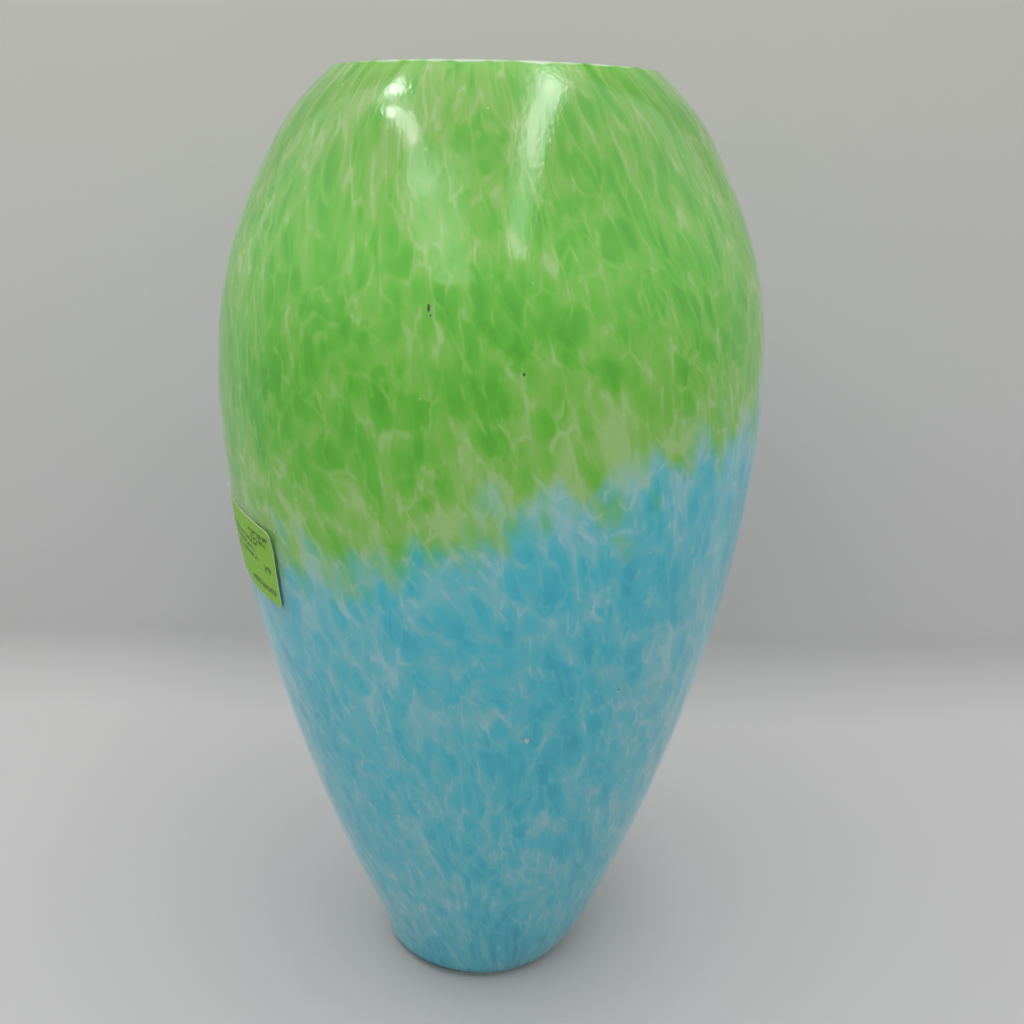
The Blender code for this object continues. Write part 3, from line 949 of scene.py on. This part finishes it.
def price_label():
    """A thin closed sheet with round corners, laid on the glass."""
    half_width, half_height = LABEL_WIDTH / 2, LABEL_HEIGHT / 2
    shares = [up / half_height for up in cut_places(half_height, LABEL_ROWS)]
    build = bmesh.new()
    paper_place = build.loops.layers.uv.new("paper")
    cut_edge = build.verts.layers.float.new("cut_edge")
    flat = {}
    sheets = []
    for lift in (GLUE, GLUE + PAPER):
        sheet = []
        for c, across in enumerate(cut_places(half_width, LABEL_COLUMNS)):
            past = max(abs(across) - (half_width - LABEL_CORNER), 0.0)
            reach = half_height - LABEL_CORNER + math.sqrt(max(LABEL_CORNER**2 - past**2, 0.0))
            line = []
            for r, share in enumerate(shares):
                up = reach * share
                vert = build.verts.new(lay(across, up, lift + stand_off(across, up)))
                flat[vert] = (1000 * (across + half_width), 1000 * (up + half_height))
                vert[cut_edge] = float(c in (0, LABEL_COLUMNS) or r in (0, LABEL_ROWS))
                line.append(vert)
            sheet.append(line)
        sheets.append(sheet)
    under, over = sheets

    def face(*verts):
        for loop in build.faces.new(verts).loops:
            loop[paper_place].uv = flat[loop.vert]

    for c in range(LABEL_COLUMNS):
        for r in range(LABEL_ROWS):
            face(over[c][r], over[c + 1][r], over[c + 1][r + 1], over[c][r + 1])
            face(under[c][r], under[c][r + 1], under[c + 1][r + 1], under[c + 1][r])
        face(under[c][0], under[c + 1][0], over[c + 1][0], over[c][0])
        face(over[c][-1], over[c + 1][-1], under[c + 1][-1], under[c][-1])
    for r in range(LABEL_ROWS):
        face(over[0][r], over[0][r + 1], under[0][r + 1], under[0][r])
        face(under[-1][r], under[-1][r + 1], over[-1][r + 1], over[-1][r])
    bmesh.ops.recalc_face_normals(build, faces=build.faces)
    mesh = bpy.data.meshes.new("price_label_paper")
    build.to_mesh(mesh)
    build.free()
    mesh.shade_smooth()
    mesh.set_sharp_from_angle(angle=math.radians(40))
    mesh.materials.append(PAPER_FINISH)
    print("label faces:", len(mesh.polygons))
    return put_in_scene(mesh.name, mesh)


label = price_label()

# %% [markdown]
# ## Seed and specks
# Hand gathered glass always carries seed, tiny air bubbles that the stir of the gather left behind. They
# repeat, so Geometry Nodes scatter them with a fixed seed of chance, a little inside the clear casing.

# %% Scatter the seed
SEED_INPUTS = {
    "Glass Wall": "Geometry",
    "Seeds Per Square Metre": "Float",
    "Smallest": "Float",
    "Largest": "Float",
    "Depth": "Float",
    "Seed Of Chance": "Int",
    "Finish": "Material",
}
SEED_SIZES = {
    "Seeds Per Square Metre": 700.0,
    "Smallest": 0.00008,
    "Largest": 0.00022,
    "Depth": 0.0011,
    "Seed Of Chance": 7,
    "Finish": casing.data.materials[0],
}


def seed_tree():
    tree, given = shape_tree("seed in glass", SEED_INPUTS, "Seed")
    chance = {"Density": given["Seeds Per Square Metre"], "Seed": given["Seed Of Chance"]}
    spots = add(tree, "GeometryNodeDistributePointsOnFaces", {"Mesh": given["Glass Wall"], **chance})
    inwards = add(tree, "ShaderNodeMath", {0: given["Depth"], 1: -1.0}, operation="MULTIPLY").outputs[0]
    inputs = {0: spots.outputs["Normal"], "Scale": inwards}
    shift = add(tree, "ShaderNodeVectorMath", inputs, operation="SCALE").outputs[0]
    inputs = {"Geometry": spots.outputs["Points"], "Offset": shift}
    moved = add(tree, "GeometryNodeSetPosition", inputs).outputs[0]
    ball = add(tree, "GeometryNodeMeshIcoSphere", {"Radius": 1.0, "Subdivisions": 2}).outputs[0]
    size = {"Seed": given["Seed Of Chance"], 2: given["Smallest"], 3: given["Largest"]}
    size = add(tree, "FunctionNodeRandomValue", size, data_type="FLOAT").outputs[1]
    inputs = {"Points": moved, "Instance": ball, "Scale": size}
    made = add(tree, "GeometryNodeInstanceOnPoints", inputs).outputs[0]
    made = add(tree, "GeometryNodeRealizeInstances", {"Geometry": made}).outputs[0]
    # A bubble is the inside of the glass seen from the air in it, so its faces point at its middle.
    made = add(tree, "GeometryNodeFlipFaces", {"Mesh": made}).outputs[0]
    made = add(tree, "GeometryNodeSetShadeSmooth", {"Geometry": made}).outputs[0]
    inputs = {"Geometry": made, "Material": given["Finish"]}
    made = add(tree, "GeometryNodeSetMaterial", inputs).outputs[0]
    add(tree, "NodeGroupOutput", {0: made})
    return tree


seeds = settle(put_in_scene("seed_bubbles", casing.data.copy()), seed_tree(), SEED_SIZES)

# %% [markdown]
# A few dark specks are bits of scale from the pipe. Blisters are larger bubbles that the blowing drew
# tall and flat, and one sits low on the front. There are only a few of each, so each is placed one by one
# and dented with noise.

# %% Put specks and blisters in the casing
SPECKS = (  # turn in degrees, height, depth, and how wide, tall and thick
    (-10.1, 0.2457, 0.0012, 0.0006, 0.0019, 0.0004),
    (-9.7, 0.2440, 0.0012, 0.0004, 0.0006, 0.0003),
    (6.5, 0.2301, 0.0012, 0.0006, 0.0008, 0.0004),
    (31.0, 0.1335, 0.0012, 0.0005, 0.0006, 0.0004),
    (148.0, 0.2160, 0.0012, 0.0008, 0.0013, 0.0004),
    (-158.0, 0.1120, 0.0012, 0.0006, 0.0008, 0.0004),
)
BLISTERS = (  # in the same order
    (10.1, 0.1197, 0.0011, 0.0015, 0.0018, 0.0005),
    (-24.0, 0.0840, 0.0011, 0.0009, 0.0014, 0.0004),
    (96.0, 0.1900, 0.0011, 0.0012, 0.0022, 0.0005),
    (-140.0, 0.2300, 0.0011, 0.0010, 0.0016, 0.0005),
)
SCALE_GRAIN = 0.0004
SCALE_TONES = ((0.0, "#1d2a12"), (1.0, "#45492c"))
DENT_SHARE, DENT_FINENESS = 0.35, 1.7


def inclusions(name, places, finish, inside_out=False):
    """Small lumps in the casing. A blister is inside out, because it is air in the glass."""
    build = bmesh.new()
    for turn, height, depth, wide, tall, thick in places:
        turn = math.radians(turn)
        radius, level = side_point(height, depth)
        out = Vector((math.sin(turn), -math.cos(turn), -side(height)[1])).normalized()
        right = Vector((math.cos(turn), math.sin(turn), 0.0))
        up = out.cross(right) * -1
        sizes = Matrix((right * wide / 2, up * tall / 2, out * thick / 2)).transposed()
        middle = Vector((radius * math.sin(turn), -radius * math.cos(turn), level))
        for vert in bmesh.ops.create_icosphere(build, subdivisions=3, radius=1.0)["verts"]:
            read_at = vert.co * DENT_FINENESS + Vector((height * 900, turn, 0))
            vert.co = middle + sizes @ (vert.co * (1 + DENT_SHARE * noise.noise(read_at)))
    bmesh.ops.recalc_face_normals(build, faces=build.faces)
    if inside_out:
        bmesh.ops.reverse_faces(build, faces=build.faces)
    mesh = bpy.data.meshes.new(name)
    build.to_mesh(mesh)
    build.free()
    mesh.shade_smooth()
    mesh.materials.append(finish)
    print(name, "faces:", len(mesh.polygons))
    return put_in_scene(name, mesh)


def pipe_scale():
    """Scale from the iron pipe: matt, nearly black specks."""
    material, tree, shader = new_finish("dark pipe scale", {"Roughness": 0.7})
    where = add(tree, "ShaderNodeTexCoord").outputs["Object"]
    inputs = {"Vector": where, "Scale": 1 / SCALE_GRAIN, "Detail": 3.0}
    grain = add(tree, "ShaderNodeTexNoise", inputs).outputs[0]
    tone = set_stops(add(tree, "ShaderNodeValToRGB", {0: grain}), SCALE_TONES)
    tree.links.new(tone, shader.inputs["Base Color"])
    return material


specks = inclusions("dark_specks", SPECKS, pipe_scale())
blisters = inclusions("blister_bubbles", BLISTERS, casing.data.materials[0], inside_out=True)

# %% [markdown]
# ## Floor and background
# A pale card lies on the table and curves up close behind the vase. Its wings carry it on to both sides,
# so that it has no end in view. Two seams in the tent round the vase show only in the gloss, as thin dark
# lines near its outline, so a strip of dark tape stands for each.

# %% Card and tape
CARD_PAINTED_LIGHT = (  # share of the way up to where the card's painted light is palest, and the colour there
    (0.0, "#a9a8a8"),
    (0.13, "#b4b3b3"),
    (0.50, "#b7b7b6"),
    (1.0, "#b8b7b2"),
)
CARD_PAINTED_LIGHT_TOP = 0.35


def sheet(name, line, left, right, finish):
    """A sheet from left to right along X, over a (y, z) line."""
    points = [(x, y, z) for y, z in line for x in (left, right)]
    faces = [(2 * i, 2 * i + 1, 2 * i + 3, 2 * i + 2) for i in range(len(line) - 1)]
    mesh = bpy.data.meshes.new(name)
    mesh.from_pydata(points, [], faces)
    mesh.shade_smooth()
    mesh.materials.append(finish)
    made = put_in_scene(name, mesh)
    return made


def white_card():
    """Matt card, painted paler up the wall as painted light from overhead. Its back is left out, so that
    the vase can be seen from behind it too.
    """
    material, tree, shader = new_finish("white card", {"Roughness": 0.8, "Specular IOR Level": 0.1})
    where = add(tree, "ShaderNodeTexCoord").outputs["Object"]
    height = add(tree, "ShaderNodeSeparateXYZ", {0: where}).outputs[2]
    # The card is painted paler upwards: painted light from overhead.
    inputs = {"Value": height, "From Min": 0.0, "From Max": CARD_PAINTED_LIGHT_TOP}
    share = add(tree, "ShaderNodeMapRange", inputs).outputs[0]
    tone = set_stops(add(tree, "ShaderNodeValToRGB", {0: share}), CARD_PAINTED_LIGHT)
    tree.links.new(tone, shader.inputs["Base Color"])
    clear = add(tree, "ShaderNodeBsdfTransparent").outputs[0]
    back = add(tree, "ShaderNodeNewGeometry").outputs["Backfacing"]
    mixed = add(tree, "ShaderNodeMixShader", {0: back, 1: shader.outputs[0], 2: clear}).outputs[0]
    tree.links.new(mixed, tree.nodes["Material Output"].inputs[0])
    return material


card = white_card()
tape = new_finish("dark cloth tape", {"Base Color": linear("#1c1f1d"), "Roughness": 0.9})[0]
print("stage finishes:", card.name, "and", tape.name)

# %% Set up the stage
SWEEP_START = 0.144
SWEEP_RADIUS = 0.036
WALL_HALF_WIDTH = 0.31
WALL_HEIGHT = 0.8
WING_REACH = 2.0
SEAM_WIDTH = 0.005
SEAM_GAP = 0.020
FLOOR_REACH = 6.0


def stage():
    """The floor, a wall that curves up behind the vase, its wings, and the taped seams beside them."""
    floor_ys = (-FLOOR_REACH, -1.0, 0.0, SWEEP_START)
    sheet("floor", [(y, 0.0) for y in floor_ys], -FLOOR_REACH, FLOOR_REACH, card)
    wall_line = [
        (SWEEP_START + SWEEP_RADIUS * math.sin(a), SWEEP_RADIUS * (1 - math.cos(a)))
        for a in np.linspace(0, math.pi / 2, 17)
    ]
    back = wall_line[-1][0]
    wall_line += [(back, 0.3), (back, WALL_HEIGHT)]
    edge = WALL_HALF_WIDTH
    wall = sheet("wall", wall_line, -edge, edge, card)
    wings = [
        sheet("wing_left", wall_line, -WING_REACH, -edge, card),
        sheet("wing_right", wall_line, edge, WING_REACH, card),
    ]
    # The card would shade the vase from the tent's light, so only the camera and the gloss see it.
    for part in (wall, *wings):
        part.visible_diffuse = False
        part.visible_transmission = False
        part.visible_glossy = part is wall
    seam_line = [(back - SEAM_GAP, 0.03), (back - SEAM_GAP - 0.001, WALL_HEIGHT)]
    for middle in (-edge, edge):
        seam = sheet("seam", seam_line, middle - SEAM_WIDTH / 2, middle + SEAM_WIDTH / 2, tape)
        seam.visible_camera = False
        seam.visible_diffuse = False


stage()
print("card from the axis in mm:", round(1000 * (SWEEP_START + SWEEP_RADIUS)))

# %% [markdown]
# ## Light
# The light is that of a small tent: pale walls all round, as a soft gradient with no edge that the
# glass could show. The camera sees the card's grey past its end.

# %% The tent walls
FRONT_GLOW = 0.78
BESIDE_GLOW = 1.55
TOP_GLOW = 1.32
LOW_GLOW = 0.58


def tent_walls():
    """Pale walls, brightest beside the vase and overhead."""
    world = bpy.data.worlds.new("tent walls")
    scene.world = world
    world.use_nodes = True
    tree = world.node_tree
    where = add(tree, "ShaderNodeTexCoord").outputs["Generated"]
    across, along, height = add(tree, "ShaderNodeSeparateXYZ", {0: where}).outputs
    beside = add(tree, "ShaderNodeMath", {0: across, 1: across}, operation="MULTIPLY").outputs[0]
    inputs = {"Value": along, "From Min": -0.1, "From Max": 0.6, "To Min": 1.0, "To Max": 0.0}
    front = add(tree, "ShaderNodeMapRange", inputs, interpolation_type="SMOOTHSTEP").outputs[0]
    beside = add(tree, "ShaderNodeMath", {0: beside, 1: front}, operation="MULTIPLY").outputs[0]
    low = add(tree, "ShaderNodeMapRange", {"Value": height, "From Min": -0.02, "From Max": 0.5}).outputs[0]
    high = add(tree, "ShaderNodeMapRange", {"Value": height, "From Min": -0.2}).outputs[0]
    front_tone, beside_tone, top_tone, low_tone = (
        (glow, glow, glow, 1.0) for glow in (FRONT_GLOW, BESIDE_GLOW, TOP_GLOW, LOW_GLOW)
    )
    inputs = {0: beside, 6: front_tone, 7: beside_tone}
    lit = add(tree, "ShaderNodeMix", inputs, data_type="RGBA").outputs[2]
    lit = add(tree, "ShaderNodeMix", {0: high, 6: lit, 7: top_tone}, data_type="RGBA").outputs[2]
    lit = add(tree, "ShaderNodeMix", {0: low, 6: low_tone, 7: lit}, data_type="RGBA").outputs[2]
    inputs = {0: high, 6: linear("#a8a8a8"), 7: linear("#b8b9b1")}
    seen = add(tree, "ShaderNodeMix", inputs, data_type="RGBA").outputs[2]
    direct = add(tree, "ShaderNodeLightPath").outputs["Is Camera Ray"]
    tone = add(tree, "ShaderNodeMix", {0: direct, 6: lit, 7: seen}, data_type="RGBA").outputs[2]
    tree.links.new(tone, tree.nodes["Background"].inputs[0])


tent_walls()
print("brightest beside the vase, against the front:", round(BESIDE_GLOW / FRONT_GLOW, 1))

# %% [markdown]
# Lamps hang over the tent and draw the long highlights on the shoulder: one long streak on the right
# with a brighter core, and on the left a broad one with small bright spots where it narrows at the
# neck. Each lamp fades towards its edges, as a bulb behind cloth does.

# %% The lamps overhead
LAMPS = (  # reach along X, reach along Y, height, glow and soft edge
    ("left_lamp", (-0.41, -0.21), (-0.50, 0.16), 0.750, 2.4, 0.09),
    ("left_front", (-0.50, -0.05), (-1.10, -0.28), 0.752, 1.9, 0.15),
    ("left_neck", (-0.37, -0.25), (-0.30, -0.06), 0.748, 4.0, 0.05),
    ("left_spot", (-0.37, -0.29), (-0.10, 0.01), 0.746, 12.0, 0.04),
    ("left_core", (-0.315, -0.235), (0.03, 0.13), 0.748, 11.0, 0.035),
    ("right_lamp", (0.05, 0.22), (-0.80, 0.12), 0.750, 3.4, 0.085),
    ("right_core", (0.095, 0.20), (-0.42, 0.06), 0.748, 4.6, 0.05),
)


def ceiling_lamp(name, x, y, height, glow, soft):
    """A lamp facing down. Its glow is its radiance, so a small one is as bright as a large one."""
    lamp = bpy.data.lights.new(name, "AREA")
    lamp.shape = "RECTANGLE"
    lamp.size = x[1] - x[0]
    lamp.size_y = y[1] - y[0]
    lamp.energy = glow * math.pi * lamp.size * lamp.size_y
    lamp.use_nodes = True
    tree = lamp.node_tree
    place = add(tree, "ShaderNodeNewGeometry").outputs["Parametric"]
    sides = add(tree, "ShaderNodeSeparateXYZ", {0: place}).outputs
    fades = []
    for side_of, length in ((sides[0], lamp.size), (sides[1], lamp.size_y)):
        far = add(tree, "ShaderNodeMath", {0: 1.0, 1: side_of}, operation="SUBTRACT").outputs[0]
        near = add(tree, "ShaderNodeMath", {0: side_of, 1: far}, operation="MINIMUM").outputs[0]
        inputs = {"Value": near, "From Min": 0.0, "From Max": min(soft / length, 0.5)}
        fades.append(add(tree, "ShaderNodeMapRange", inputs, interpolation_type="SMOOTHSTEP").outputs[0])
    inputs = {0: fades[0], 1: fades[1]}
    fade = add(tree, "ShaderNodeMath", inputs, operation="MULTIPLY").outputs[0]
    tree.links.new(fade, tree.nodes["Emission"].inputs["Strength"])
    hung = put_in_scene(name, lamp)
    hung.location = ((x[0] + x[1]) / 2, (y[0] + y[1]) / 2, height)
    hung.visible_camera = False


for lamp in LAMPS:
    ceiling_lamp(*lamp)
print("lamps:", len(LAMPS))

# %% [markdown]
# ## Attach the pieces
# Each piece rides on the imported body and stands for the imported solid of the same layer.

# %% Attach each piece and hide its imported solid
for piece, node, slot in (
    (casing, "clear_casing", "clear_glass"),
    (green, "green_frit_layer", "green_glass"),
    (turquoise, "turquoise_frit_layer", "turquoise_glass"),
    (opal, "opal_lining", "opal_glass"),
    (label, "price_label", "label_paper"),
):
    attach(piece, "root")
    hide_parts(node)
for piece in (seeds, specks, blisters):
    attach(piece, "root")
